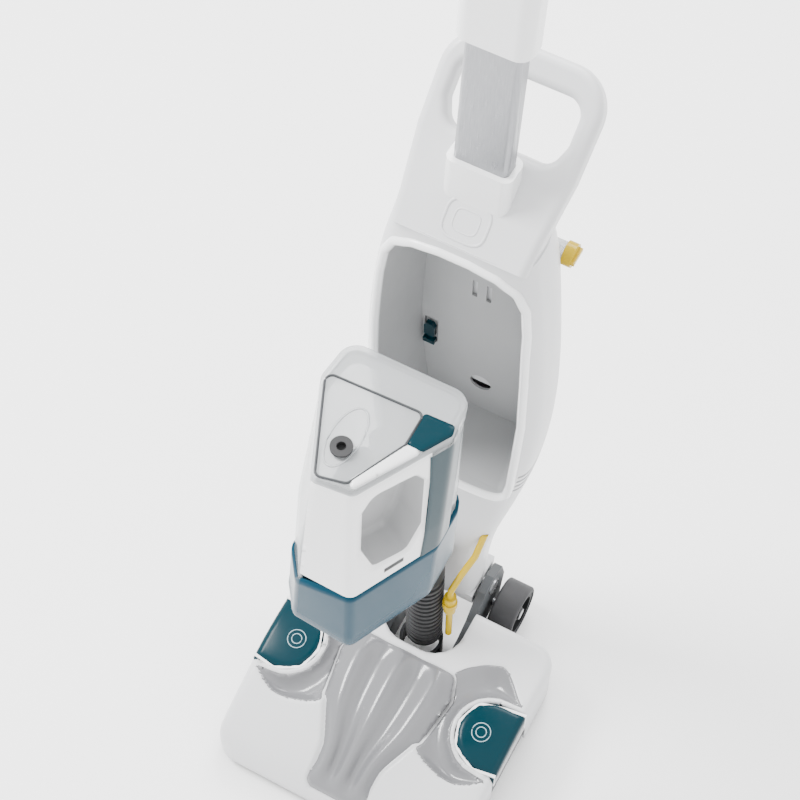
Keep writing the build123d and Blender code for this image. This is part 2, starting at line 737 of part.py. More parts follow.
# ---------------------------------------------------------------- dirty-water tank
# plan corners of the tank at three heights, from the nose's right corner round the back
TANK_PLANS = (
    (TANK_LOW, ((12, -91), (50, -12), (50, 47), (-49, 47), (-66, -60), (-46, -87))),
    (540.0, ((13, -83), (55, -3), (54, 47), (-54, 47), (-68, -30), (-36, -83))),
    (TANK_TOP, ((13, -73), (58, 8), (56, 47), (-56, 47), (-60, 8), (-22, -77))),
)
TANK_CORNERS = (8, 12, 16, 16, 12, 7)


def tank_plan(z, inset=0.0):
    """Plan outline of the tank at height z: square behind, drawn to a blunt nose in front."""
    low, high = TANK_PLANS[:2] if z <= TANK_PLANS[1][0] else TANK_PLANS[1:]
    share = (z - low[0]) / (high[0] - low[0])
    points = [(x0 + (x1 - x0) * share, y0 + (y1 - y0) * share)
              for (x0, y0), (x1, y1) in zip(low[1], high[1])]
    face = make_face(Polyline(*points, close=True))
    face = offset(face, -inset, kind=Kind.INTERSECTION) if inset else face
    for point, radius in zip(points, TANK_CORNERS):
        near = sorted(face.vertices(), key=lambda v: abs(v.X - point[0]) + abs(v.Y - point[1]))
        face = fillet(near[:1], radius - inset)
    return Plane.XY.offset(z) * face


def tank_solid(z0, z1, inset=0.0):
    """Solid between two heights of the tank's outline."""
    heights = [z0] + [h for h, _ in TANK_PLANS[1:2] if z0 < h < z1] + [z1]
    return loft([tank_plan(z, inset) for z in heights], ruled=True)


def scoop(grow, deep):
    """Finger scoop in the tank's right-hand front face."""
    outline = ((-36, 574), (0, 524), (42, 524), (44, 600), (40, 636), (22, 652), (-24, 652), (-37, 640))
    face = fillet(make_face(Polyline(*outline, close=True)).vertices(), 8)
    if grow:
        face = offset(face, grow)
    swing = Plane(origin=(34, -42, 0), x_dir=(0.433, 0.901, 0), z_dir=(0.901, -0.433, 0))
    return extrude(swing.offset(14) * face, -14 - deep)


def tank_shell():
    """Clear tank wall, open at both ends."""
    shell = tank_solid(TANK_BASE_TOP, 664) - tank_solid(TANK_BASE_TOP - 1, 665, TANK_WALL)
    return shell - scoop(2.8, 34)


def tank_front_panel():
    """White front panel with the walls of the finger scoop."""
    sheet = tank_solid(TANK_BASE_TOP + 0.1, 664, -2.6) - tank_solid(TANK_BASE_TOP - 2, 666, -0.05)
    sheet &= block((-60, -140, 400), (62, 6, 663.8))
    sheet -= band_zone()
    ridge = ((-150, 380), (-47, 380), (-23, 680), (-150, 680))
    sheet -= slab_y(ridge, -140, 60)
    sheet -= scoop(0, 40)
    pocket = scoop(2.4, 33.6) - scoop(0, 31)
    pocket &= tank_solid(TANK_BASE_TOP, 663, -2.6)
    return sheet + pocket


def band_zone():
    """Space of the band on the right-hand edge of the tank."""
    return block((BAND_X, -40, 400), (120, 60, 900))


def tank_band():
    """Blue band up the right-hand edge, from the base to the lid."""
    band = tank_solid(TANK_BASE_TOP + 0.1, 664, -2.6) - tank_solid(TANK_BASE_TOP - 2, 666, -0.05)
    return (band & block((BAND_X + 0.2, -40, 400), (120, 20, 700))) - scoop(2.6, 60)


def tank_base():
    """Blue base of the tank."""
    outer = tank_solid(TANK_LOW, TANK_BASE_TOP, -2.6)
    outer = fillet(outer.faces().sort_by(Axis.Z)[0].edges(), 4)
    return outer - tank_solid(TANK_LOW + 3, TANK_BASE_TOP + 1, TANK_WALL)


PLUG_AT = (-13.0, -45.0)


def tank_lid():
    """Clear lid with a raised window and a skirt inside the wall."""
    lid = tank_solid(664.2, 676, -1.2)
    lid = fillet(lid.faces().sort_by(Axis.Z)[-1].edges(), 2.5)
    lid -= tank_solid(660, 673, TANK_WALL)
    skirt = extrude(tank_plan(664.2, TANK_WALL + 1.0), 8.9) - extrude(tank_plan(664.2, TANK_WALL + 2.8), 8.9)
    skirt += Pos(0, 0, -8.2) * skirt
    return (lid + skirt) - rod_z(7, 650, 690, *PLUG_AT)


def float_cage():
    """Cage and guide of the float."""
    cage = rod_z(13, 560, 606, -6, 12) - rod_z(11, 562, 604, -6, 12)
    for turn in (0, 60, 120):
        cage -= Pos(-6, 12, 583) * Rot(0, 0, turn) * Box(60, 7, 34)
    stay = block((-9, 24.6, 590), (-3, 44.4, 606))
    return cage + stay


def float_ball():
    """Float that shuts the suction path when the tank is full."""
    return Pos(-6, 12, 573) * Sphere(9.5)


def intake_duct():
    """Duct that brings dirty water to the top of the tank."""
    pipe = block((-12, 22, 410), (14, 44.4, 550)) - block((-10, 24, 400), (12, 42, 560))
    return pipe


def tank_plug():
    """Rubber pour-out plug in the lid."""
    plug = rod_z(6.9, 668, 678.5, *PLUG_AT) + rod_z(9.5, 678.5, 681, *PLUG_AT)
    return plug - rod_z(4, 675, 690, *PLUG_AT)


# ---------------------------------------------------------------- clean-water tank
def clean_tank_shell():
    """Rear tank for clean water, its back following the body's skin."""
    room = block((-100, CLEAN_FRONT, CLEAN_LOW), (100, 300, CLEAN_TOP))
    inside = block((-100, CLEAN_FRONT + 2, CLEAN_LOW + 2), (100, 300, CLEAN_TOP - 2))
    outer = body_solid() & room
    inner = body_solid(2) & inside
    neck = rod_x(9, 38, 66, CAP_Y, CAP_Z) - body_solid(1.9)
    outer = outer - inner + neck
    outer -= rod_x(7, 30, 70, CAP_Y, CAP_Z)
    return outer - rod_z(6, CLEAN_LOW - 5, CLEAN_LOW + 5, 0, 210)


CAP_Y = 209.0
CAP_Z = 676.0


def clean_cap():
    """Yellow fill cap with a grip bar."""
    cap = rod_x(11, 66.4, 70, CAP_Y, CAP_Z)
    ring = rod_x(11, 61, 66.4, CAP_Y, CAP_Z) - rod_x(9.3, 50, 66.4, CAP_Y, CAP_Z)
    bar = block((70, CAP_Y - 9, CAP_Z - 2), (73, CAP_Y + 9, CAP_Z + 2))
    return cap + ring + bar


def clean_valve():
    """Spring valve in the floor of the clean-water tank."""
    return rod_z(5.95, CLEAN_LOW - 0.3, CLEAN_LOW + 8, 0, 210) + rod_z(8, CLEAN_LOW + 2.05, CLEAN_LOW + 4, 0, 210)


# ---------------------------------------------------------------- build
def build_foot():
    """Everything that rides on the floor."""
    keep("foot_chassis", foot_chassis())
    keep("foot_hood", foot_hood())
    keep("nozzle_cover", nozzle_cover())
    keep("nozzle_lip", nozzle_lip())
    keep("brush_core", brush_core())
    keep("brush_bristles", brush_bristles())
    keep("brush_pulley", pulley(BRUSH_PULLEY_R, 4.15, BRUSH_Y, BRUSH_Z))
    keep("motor_pulley", motor_pulley())
    keep("drive_belt", drive_belt())
    keep("brush_motor", brush_motor())
    keep("spray_bar", spray_bar())
    keep("wheel_axles", wheel_axles())
    keep("pivot_pins", pivot_pins())
    keep("hose_cuff", hose_cuff())
    keep("foot_screws", foot_screws())
    keep("latch_trays", latch_surround(-1) + latch_surround(1))
    for word, side in (("left", -1), ("right", 1)):
        keep(f"latch_{word}", latch(side))
        keep(f"latch_spring_{word}", coil(side * LATCH_X, 2, 53, 64, 7.5, 5))
        keep(f"wheel_{word}", wheel_hub(side))
        keep(f"tyre_{word}", tyre(side))


def build_upright():
    """Body, handle and what they hold."""
    front, rear = body_shells()
    keep("body_front_shell", front)
    keep("body_rear_shell", rear)
    keep("carry_handle", carry_handle())
    keep("bay_liner", bay_liner())
    keep("bay_trim", bay_trim())
    keep("tank_catch", tank_catch())
    keep("pole_socket", pole_socket())
    keep("pole_tube", pole_tube())
    keep("handle_sleeve", handle_sleeve())
    keep("handle_grip", handle_grip())
    keep("trigger", trigger())
    keep("trigger_pin", trigger_pin())
    keep("power_button", power_button())
    keep("cord_hook", cord_hook())
    keep("fan_motor", fan_motor())
    keep("fan_housing", fan_housing())
    keep("impeller", impeller())
    keep("pump", pump())
    keep("suction_duct", suction_duct())
    keep("neck_hose", neck_hose())
    keep("solution_tube", solution_tube())
    keep("solution_fitting", solution_fitting())
    keep("cord_gland", cord_gland())
    keep("body_screws", body_screws())


def build_tanks():
    """Dirty-water tank and clean-water tank."""
    keep("tank_shell", tank_shell())
    keep("tank_front_panel", tank_front_panel())
    keep("tank_band", tank_band())
    keep("tank_base", tank_base())
    keep("tank_lid", tank_lid())
    keep("tank_plug", tank_plug())
    keep("float_cage", float_cage())
    keep("float_ball", float_ball())
    keep("intake_duct", intake_duct())
    keep("clean_tank_shell", clean_tank_shell())
    keep("clean_cap", clean_cap())
    keep("clean_valve", clean_valve())


os.makedirs("parts", exist_ok=True)
build_foot()
build_upright()
build_tanks()
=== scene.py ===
"""Looks of an upright carpet washer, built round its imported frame. Metres, +Z up, -Y is the front."""

import json
import logging
import math
from collections.abc import Callable
from dataclasses import dataclass, field
from enum import Enum

import bmesh
import bpy
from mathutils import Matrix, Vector


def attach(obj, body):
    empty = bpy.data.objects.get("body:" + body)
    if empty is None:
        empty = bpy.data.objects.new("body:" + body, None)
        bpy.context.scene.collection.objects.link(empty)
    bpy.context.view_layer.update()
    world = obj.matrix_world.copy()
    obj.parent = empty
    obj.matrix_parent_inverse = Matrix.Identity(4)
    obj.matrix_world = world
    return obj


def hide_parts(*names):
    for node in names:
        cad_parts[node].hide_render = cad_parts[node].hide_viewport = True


logging.basicConfig(level=logging.INFO, format="%(levelname)s %(message)s")
LOG = logging.getLogger("carpet_washer")

Colour = tuple[float, float, float]
Pair = tuple[float, float]
Point = tuple[float, float, float]

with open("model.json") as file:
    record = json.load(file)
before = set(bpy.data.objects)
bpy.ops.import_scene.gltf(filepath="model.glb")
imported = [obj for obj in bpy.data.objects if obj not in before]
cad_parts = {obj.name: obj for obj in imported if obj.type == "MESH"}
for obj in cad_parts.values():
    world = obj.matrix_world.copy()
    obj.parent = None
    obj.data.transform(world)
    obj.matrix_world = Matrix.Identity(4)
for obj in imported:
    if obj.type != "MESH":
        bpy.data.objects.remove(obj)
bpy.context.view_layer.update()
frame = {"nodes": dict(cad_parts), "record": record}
ORIGIN_Y = 75.4  # millimetres from the drawing's origin to the frame's
BEAD_SIDES = 12
LATCH_GAP = 4.0  # millimetres of plain hood between a latch's opening and its crescent


# ---------------------------------------------------------------- finishes
class Surface(Enum):
    """How the skin of a moulding is textured."""

    POLISHED = "polished"
    SATIN = "satin"
    SPARK = "spark"


GRAIN: dict[Surface, tuple[float, float, float]] = {
    Surface.POLISHED: (0.22, 0.05, 0.004),
    Surface.SATIN: (0.42, 0.10, 0.05),
    Surface.SPARK: (0.58, 0.12, 0.16),
}


@dataclass(frozen=True)
class NodeKit:
    """Small helper round one material's node tree."""

    material: bpy.types.Material

    @property
    def shader(self) -> bpy.types.Node:
        """The Principled shader."""
        return self.material.node_tree.nodes["Principled BSDF"]

    def add(self, kind: str, **values: object) -> bpy.types.Node:
        """Add a node and set its properties.

        Args:
            kind: the node's type name.
            values: properties to set on it.

        Returns:
            The new node.
        """
        node = self.material.node_tree.nodes.new(kind)
        for key, value in values.items():
            setattr(node, key, value)
        return node

    def link(self, source: bpy.types.NodeSocket, target: bpy.types.NodeSocket) -> None:
        """Join two sockets."""
        self.material.node_tree.links.new(source, target)

    def place(self, scale: Point = (1.0, 1.0, 1.0)) -> bpy.types.NodeSocket:
        """Object coordinates, scaled.

        Args:
            scale: factor along each axis.

        Returns:
            The vector socket.
        """
        coordinates = self.add("ShaderNodeTexCoord")
        mapping = self.add("ShaderNodeMapping")
        mapping.inputs["Scale"].default_value = scale
        self.link(coordinates.outputs["Object"], mapping.inputs["Vector"])
        return mapping.outputs["Vector"]

    def noise(
        self, vector: bpy.types.NodeSocket, scale: float, detail: float = 3.0
    ) -> bpy.types.NodeSocket:
        """Noise over a vector.

        Args:
            vector: where the noise is read.
            scale: features per metre.
            detail: octaves.

        Returns:
            The factor socket.
        """
        node = self.add("ShaderNodeTexNoise")
        node.inputs["Scale"].default_value = scale
        node.inputs["Detail"].default_value = detail
        self.link(vector, node.inputs["Vector"])
        return node.outputs["Fac"]

    def ramp(
        self, factor: bpy.types.NodeSocket, low: float, high: float
    ) -> bpy.types.NodeSocket:
        """Map a factor from 0..1 to low..high."""
        node = self.add("ShaderNodeMapRange")
        node.inputs["From Min"].default_value = 0.3
        node.inputs["From Max"].default_value = 0.7
        node.inputs["To Min"].default_value = low
        node.inputs["To Max"].default_value = high
        self.link(factor, node.inputs["Value"])
        return node.outputs["Result"]

    def tint(
        self, factor: bpy.types.NodeSocket, first: Colour, second: Colour
    ) -> bpy.types.NodeSocket:
        """Blend two colours by a factor."""
        node = self.add("ShaderNodeMix", data_type="RGBA")
        node.inputs["A"].default_value = (*first, 1.0)
        node.inputs["B"].default_value = (*second, 1.0)
        self.link(factor, node.inputs["Factor"])
        return node.outputs["Result"]

    def bump(
        self, height: bpy.types.NodeSocket, strength: float, distance: float
    ) -> None:
        """Feed a height into the shader's normal."""
        node = self.add("ShaderNodeBump")
        node.inputs["Strength"].default_value = strength
        node.inputs["Distance"].default_value = distance
        self.link(height, node.inputs["Height"])
        self.link(node.outputs["Normal"], self.shader.inputs["Normal"])


def fresh(name: str) -> NodeKit:
    """Start a node material.

    Args:
        name: the material's name.

    Returns:
        A kit on the new material.
    """
    material = bpy.data.materials.new(name)
    material.use_nodes = True
    return NodeKit(material)


@dataclass(frozen=True)
class Moulding:
    """Moulded plastic: a colour that drifts a little, a fine skin texture and a coat."""

    name: str
    colour: Colour
    surface: Surface = Surface.POLISHED
    drift: float = 0.04
    coat: float = 0.0
    ior: float = 1.49

    def make(self) -> bpy.types.Material:
        """Build the material.

        Returns:
            The material.
        """
        kit = fresh(self.name)
        rough, spread, depth = GRAIN[self.surface]
        where = kit.place()
        broad = kit.noise(where, 14.0)
        darker = tuple(c * (1.0 - self.drift) for c in self.colour)
        shader = kit.shader
        kit.link(kit.tint(broad, self.colour, darker), shader.inputs["Base Color"])
        fine = kit.noise(where, 1400.0, 2.0)
        smear = kit.noise(kit.place((1.0, 1.0, 0.35)), 60.0, 4.0)
        kit.link(
            kit.ramp(smear, rough - spread / 2, rough + spread / 2),
            shader.inputs["Roughness"],
        )
        kit.bump(fine, depth, 0.0004)
        shader.inputs["IOR"].default_value = self.ior
        shader.inputs["Coat Weight"].default_value = self.coat
        shader.inputs["Coat Roughness"].default_value = 0.08
        return kit.material


@dataclass(frozen=True)
class ClearPlastic:
    """Clear or smoked plastic: pale where it faces the eye, denser at its edges."""

    name: str
    colour: Colour
    alpha: float
    edge: float
    edge_colour: Colour = (0.30, 0.33, 0.34)

    def make(self) -> bpy.types.Material:
        """Build the material.

        Returns:
            The material.
        """
        kit = fresh(self.name)
        shader = kit.shader
        facing = kit.add("ShaderNodeLayerWeight")
        facing.inputs["Blend"].default_value = 0.35
        haze = kit.noise(kit.place(), 22.0)
        kit.link(
            kit.tint(facing.outputs["Facing"], self.colour, self.edge_colour),
            shader.inputs["Base Color"],
        )
        node = kit.add("ShaderNodeMapRange")
        node.inputs["To Min"].default_value = self.alpha
        node.inputs["To Max"].default_value = self.edge
        kit.link(facing.outputs["Facing"], node.inputs["Value"])
        kit.link(node.outputs["Result"], shader.inputs["Alpha"])
        kit.link(kit.ramp(haze, 0.05, 0.11), shader.inputs["Roughness"])
        kit.bump(haze, 0.05, 0.002)
        return kit.material


@dataclass(frozen=True)
class Metal:
    """Bare metal, brushed along one axis."""

    name: str
    colour: Colour
    rough: float
    stretch: Point = (900.0, 900.0, 12.0)

    def make(self) -> bpy.types.Material:
        """Build the material.

        Returns:
            The material.
        """
        kit = fresh(self.name)
        shader = kit.shader
        lines = kit.noise(kit.place(self.stretch), 1.0, 5.0)
        darker = tuple(c * 0.82 for c in self.colour)
        kit.link(kit.tint(lines, self.colour, darker), shader.inputs["Base Color"])
        kit.link(
            kit.ramp(lines, self.rough - 0.08, self.rough + 0.08),
            shader.inputs["Roughness"],
        )
        shader.inputs["Metallic"].default_value = 1.0
        kit.bump(lines, 0.08, 0.0002)
        return kit.material


@dataclass(frozen=True)
class Rubber:
    """Dull rubber with a dusty bloom."""

    name: str
    colour: Colour
    rough: float = 0.62

    def make(self) -> bpy.types.Material:
        """Build the material.

        Returns:
            The material.
        """
        kit = fresh(self.name)
        shader = kit.shader
        where = kit.place()
        bloom = kit.noise(where, 35.0, 6.0)
        lighter = tuple(min(1.0, c * 1.5 + 0.01) for c in self.colour)
        kit.link(kit.tint(bloom, self.colour, lighter), shader.inputs["Base Color"])
        kit.link(
            kit.ramp(bloom, self.rough - 0.1, self.rough + 0.12),
            shader.inputs["Roughness"],
        )
        kit.bump(kit.noise(where, 900.0, 3.0), 0.25, 0.0004)
        return kit.material


FINISHES = {
    "shell_white": Moulding("shell_white", (0.60, 0.605, 0.615), Surface.SATIN, 0.03, 0.1),
    "trim_white": Moulding("trim_white", (0.84, 0.845, 0.85), Surface.POLISHED, 0.02, 0.3),
    "liner_grey": Moulding("liner_grey", (0.36, 0.365, 0.37), Surface.SATIN, 0.05),
    "cover_grey": Moulding("cover_grey", (0.17, 0.172, 0.18), Surface.POLISHED, 0.06, 0.3),
    "chassis_dark": Moulding("chassis_dark", (0.06, 0.065, 0.07), Surface.SPARK, 0.15),
    "teal_dark": Moulding("teal_dark", (0.001, 0.024, 0.034), Surface.POLISHED, 0.10, 0.0, 1.22),
    "teal_blue": Moulding("teal_blue", (0.002, 0.038, 0.066), Surface.POLISHED, 0.10, 0.0, 1.2),
    "clear": ClearPlastic("clear", (0.86, 0.885, 0.89), 0.16, 0.62),
    "smoke_clear": ClearPlastic("smoke_clear", (0.62, 0.64, 0.65), 0.34, 0.85, (0.16, 0.18, 0.19)),
    "silver": Metal("silver", (0.34, 0.345, 0.36), 0.34),
    "yellow": Moulding("yellow", (0.50, 0.34, 0.006), Surface.POLISHED, 0.08, 0.0, 1.3),
    "black_rubber": Rubber("black_rubber", (0.012, 0.012, 0.013)),
    "tyre": Rubber("tyre", (0.022, 0.022, 0.024), 0.7),
    "wheel_black": Moulding("wheel_black", (0.012, 0.013, 0.014), Surface.SPARK, 0.15, 0.0, 1.25),
    "bristle": Rubber("bristle", (0.02, 0.09, 0.11), 0.5),
    "steel": Metal("steel", (0.52, 0.53, 0.55), 0.28, (60.0, 60.0, 60.0)),
    "motor_metal": Metal("motor_metal", (0.25, 0.26, 0.27), 0.42, (30.0, 30.0, 400.0)),
    # scoop_white is the white front's plastic darkened to mid grey: painted shade inside the finger
    # scoop.
    "scoop_white": Moulding("scoop_white", (0.42, 0.425, 0.43), Surface.SATIN, 0.04),
    "icon_grey": Moulding("icon_grey", (0.30, 0.42, 0.46), Surface.SATIN, 0.05),
    "edge_grey": Moulding("edge_grey", (0.05, 0.053, 0.056), Surface.POLISHED, 0.05, 0.0, 1.3),
    "nylon": Moulding("nylon", (0.74, 0.74, 0.72), Surface.SATIN, 0.05),
}


class Palette:
    """Every finish, made once."""

    def __init__(self) -> None:
        """Build all finishes."""
        self.materials = {name: finish.make() for name, finish in FINISHES.items()}

    def dress(self, piece: bpy.types.Object, slot: str) -> None:
        """Give a piece one finish.

        Args:
            piece: the object to dress.
            slot: the finish's slot.
        """
        piece.data.materials.clear()
        piece.data.materials.append(self.materials[slot])

    def dress_frame(self) -> None:
        """Give every CAD node the finish that its record names."""
        for row in frame["record"]["subparts"]:
            node = frame["nodes"][row["node"]]
            self.dress(node, row["material_slot"])


# ---------------------------------------------------------------- studio
@dataclass(frozen=True)
class Lamp:
    """One soft box."""

    name: str
    place: Point
    power: float
    size: float


@dataclass
class Studio:
    """Pale floor, soft light and the camera."""

    eye: Point = (0.371, -0.7354, 2.005)
    aim: Point = (0.015, -0.0747, 0.7068)
    lens: float = 86.0
    lamps: tuple[Lamp, ...] = (
        Lamp("key", (-1.6, -0.2, 2.4), 120.0, 0.9),
        Lamp("fill", (2.0, -0.8, 1.8), 10.0, 2.0),
        Lamp("rear", (-0.2, 2.0, 2.4), 80.0, 1.4),
    )

    def build(self) -> None:
        """Make the floor, the lamps, the sky and the camera."""
        self.make_floor()
        for lamp in self.lamps:
            self.make_lamp(lamp)
        world = bpy.data.worlds.new("studio")
        bpy.context.scene.world = world
        world.use_nodes = True
        sky = world.node_tree.nodes["Background"]
        sky.inputs["Color"].default_value = (1.0, 1.0, 1.0, 1.0)
        sky.inputs["Strength"].default_value = 2.2
        self.make_camera()

    def make_floor(self) -> None:
        """Make the pale floor."""
        kit = fresh("floor")
        tone = kit.tint(kit.noise(kit.place(), 3.0), (0.97, 0.97, 0.97), (0.99, 0.99, 0.99))
        kit.link(tone, kit.shader.inputs["Base Color"])
        kit.shader.inputs["Roughness"].default_value = 0.6
        form = bmesh.new()
        bmesh.ops.create_grid(form, x_segments=2, y_segments=2, size=6.0)
        floor = finish_mesh("floor", form)
        floor.data.materials.append(kit.material)

    def make_lamp(self, lamp: Lamp) -> None:
        """Hang one soft box, turned to the washer.

        Args:
            lamp: what to hang.
        """
        data = bpy.data.lights.new(lamp.name, "AREA")
        data.energy = lamp.power
        data.size = lamp.size
        holder = bpy.data.objects.new(lamp.name, data)
        bpy.context.scene.collection.objects.link(holder)
        holder.location = lamp.place
        self.face(holder, (0.0, 0.05, 0.45))

    def make_camera(self) -> None:
        """Place the camera."""
        data = bpy.data.cameras.new("camera")
        data.lens = self.lens
        data.sensor_width = 36.0
        holder = bpy.data.objects.new("camera", data)
        bpy.context.scene.collection.objects.link(holder)
        holder.location = self.eye
        self.face(holder, self.aim)
        bpy.context.scene.camera = holder

    @staticmethod
    def face(holder: bpy.types.Object, target: Point) -> None:
        """Turn an object's -Z towards a point."""
        way = Vector(target) - holder.location
        holder.rotation_euler = way.to_track_quat("-Z", "Y").to_euler()


# ---------------------------------------------------------------- shapes
def mm(x: float, y: float, z: float) -> Vector:
    """A point of the drawing, in millimetres, as a place in the frame."""
    return Vector((x, y - ORIGIN_Y, z)) / 1000.0


def ease(value: float) -> float:
    """Smooth step from 0 to 1."""
    value = min(1.0, max(0.0, value))
    return value * value * (3.0 - 2.0 * value)


def read_curve(points: tuple[Pair, ...], where: float) -> float:
    """Smooth curve through points.

    Args:
        points: (place, value) pairs in order.
        where: the place to read.

    Returns:
        The value there, held at both ends.
    """
    if where <= points[0][0]:
        return points[0][1]
    for index, ((x0, y0), (x1, y1)) in enumerate(zip(points, points[1:])):
        if where <= x1:
            before = points[index - 1] if index else (x0 - 1.0, y0 - (y1 - y0) / (x1 - x0))
            after = points[index + 2] if index + 2 < len(points) else (x1 + 1.0, y1)
            step = x1 - x0
            slope0 = (y1 - before[1]) / (x1 - before[0]) * step
            slope1 = (after[1] - y0) / (after[0] - x0) * step
            t = (where - x0) / step
            first = (2 * t**3 - 3 * t**2 + 1) * y0 + (t**3 - 2 * t**2 + t) * slope0
            return first + (3 * t**2 - 2 * t**3) * y1 + (t**3 - t**2) * slope1
    return points[-1][1]


def rounded(points: list[Pair], radii: list[float], arc: int = 6) -> list[tuple[Vector, Vector]]:
    """Round the corners of a closed outline.

    Args:
        points: corners in order.
        radii: one radius for each corner.
        arc: steps in each corner.

    Returns:
        Points with their outward normals.
    """
    ring = []
    for index, (point, radius) in enumerate(zip(points, radii)):
        before, here = Vector(points[index - 1]), Vector(point)
        after = Vector(points[(index + 1) % len(points)])
        back, ahead = (before - here).normalized(), (after - here).normalized()
        half = back.angle(ahead) / 2.0
        centre = here + (back + ahead).normalized() * radius / math.sin(half)
        start = here + back * radius / math.tan(half) - centre
        end = here + ahead * radius / math.tan(half) - centre
        for step in range(arc + 1):
            way = start.lerp(end, step / arc).normalized()
            ring.append((centre + way * radius, way))
    return ring


def mirrored(points: tuple[Pair, ...]) -> list[Pair]:
    """Right-hand half of an outline, closed by its mirror image."""
    return list(points) + [(-x, y) for x, y in reversed(points)]


def outline_of(points: list[Pair], radius: float) -> list[Pair]:
    """Plain outline with every corner rounded to one radius."""
    return [tuple(p) for p, _ in rounded(points, [radius] * len(points))]


def inside_of(outline: list[Pair], x: float, y: float) -> float:
    """How far a point is inside an outline.

    Args:
        outline: closed polygon.
        x: across.
        y: along.

    Returns:
        The distance to the edge, negative outside.
    """
    nearest, odd = 1e9, False
    for index, (x1, y1) in enumerate(outline):
        x0, y0 = outline[index - 1]
        dx, dy = x1 - x0, y1 - y0
        length = dx * dx + dy * dy
        share = min(1.0, max(0.0, ((x - x0) * dx + (y - y0) * dy) / length)) if length else 0.0
        nearest = min(nearest, math.hypot(x - x0 - share * dx, y - y0 - share * dy))
        if (y0 > y) != (y1 > y) and x < x0 + (y - y0) * dx / dy:
            odd = not odd
    return nearest if odd else -nearest


# ---------------------------------------------------------------- shapes
def mm(x: float, y: float, z: float) -> Vector:
    """A point of the drawing, in millimetres, as a place in the frame."""
    return Vector((x, y - ORIGIN_Y, z)) / 1000.0


def ease(value: float) -> float:
    """Smooth step from 0 to 1."""
    value = min(1.0, max(0.0, value))
    return value * value * (3.0 - 2.0 * value)


def read_curve(points: tuple[Pair, ...], where: float) -> float:
    """Smooth curve through points.

    Args:
        points: (place, value) pairs in order.
        where: the place to read.

    Returns:
        The value there, held at both ends.
    """
    if where <= points[0][0]:
        return points[0][1]
    for index, ((x0, y0), (x1, y1)) in enumerate(zip(points, points[1:])):
        if where <= x1:
            before = points[index - 1] if index else (x0 - 1.0, y0 - (y1 - y0) / (x1 - x0))
            after = points[index + 2] if index + 2 < len(points) else (x1 + 1.0, y1)
            step = x1 - x0
            slope0 = (y1 - before[1]) / (x1 - before[0]) * step
            slope1 = (after[1] - y0) / (after[0] - x0) * step
            t = (where - x0) / step
            first = (2 * t**3 - 3 * t**2 + 1) * y0 + (t**3 - 2 * t**2 + t) * slope0
            return first + (3 * t**2 - 2 * t**3) * y1 + (t**3 - t**2) * slope1
    return points[-1][1]


def rounded(points: list[Pair], radii: list[float], arc: int = 6) -> list[tuple[Vector, Vector]]:
    """Round the corners of a closed outline.

    Args:
        points: corners in order.
        radii: one radius for each corner.
        arc: steps in each corner.

    Returns:
        Points with their outward normals.
    """
    ring = []
    for index, (point, radius) in enumerate(zip(points, radii)):
        before, here = Vector(points[index - 1]), Vector(point)
        after = Vector(points[(index + 1) % len(points)])
        back, ahead = (before - here).normalized(), (after - here).normalized()
        half = back.angle(ahead) / 2.0
        centre = here + (back + ahead).normalized() * radius / math.sin(half)
        start = here + back * radius / math.tan(half) - centre
        end = here + ahead * radius / math.tan(half) - centre
        for step in range(arc + 1):
            way = start.lerp(end, step / arc).normalized()
            ring.append((centre + way * radius, way))
    return ring


def mirrored(points: tuple[Pair, ...]) -> list[Pair]:
    """Right-hand half of an outline, closed by its mirror image."""
    return list(points) + [(-x, y) for x, y in reversed(points)]


def outline_of(points: list[Pair], radius: float) -> list[Pair]:
    """Plain outline with every corner rounded to one radius."""
    return [tuple(p) for p, _ in rounded(points, [radius] * len(points))]


def inside_of(outline: list[Pair], x: float, y: float) -> float:
    """How far a point is inside an outline.

    Args:
        outline: closed polygon.
        x: across.
        y: along.

    Returns:
        The distance to the edge, negative outside.
    """
    nearest, odd = 1e9, False
    for index, (x1, y1) in enumerate(outline):
        x0, y0 = outline[index - 1]
        dx, dy = x1 - x0, y1 - y0
        length = dx * dx + dy * dy
        share = min(1.0, max(0.0, ((x - x0) * dx + (y - y0) * dy) / length)) if length else 0.0
        nearest = min(nearest, math.hypot(x - x0 - share * dx, y - y0 - share * dy))
        if (y0 > y) != (y1 > y) and x < x0 + (y - y0) * dx / dy:
            odd = not odd
    return nearest if odd else -nearest


# ---------------------------------------------------------------- mesh helpers
def finish_mesh(name: str, form: bmesh.types.BMesh) -> bpy.types.Object:
    """Turn a bmesh into a smooth-shaded object at the origin.

    Args:
        name: the piece's name.
        form: the finished bmesh, freed here.

    Returns:
        The object, linked to the scene.
    """
    mesh = bpy.data.meshes.new(name)
    form.to_mesh(mesh)
    form.free()
    mesh.shade_smooth()
    piece = bpy.data.objects.new(name, mesh)
    bpy.context.scene.collection.objects.link(piece)
    return piece


def woven(
    name: str, columns: int, rows: int, place: Callable[[float, float], Vector], wrap: bool = False
) -> bpy.types.Object:
    """Sheet over two shares from 0 to 1.

    Args:
        name: the piece's name.
        columns: steps along the first share.
        rows: steps along the second share.
        place: gives the point for each pair of shares.
        wrap: weld the edges that meet.

    Returns:
        The piece.
    """
    form = bmesh.new()
    bmesh.ops.create_grid(form, x_segments=columns, y_segments=rows, size=1.0)
    for vert in form.verts:
        vert.co = place((vert.co.x + 1.0) / 2.0, (vert.co.y + 1.0) / 2.0)
    if wrap:
        bmesh.ops.remove_doubles(form, verts=form.verts, dist=1e-6)
    bmesh.ops.recalc_face_normals(form, faces=form.faces)
    return finish_mesh(name, form)


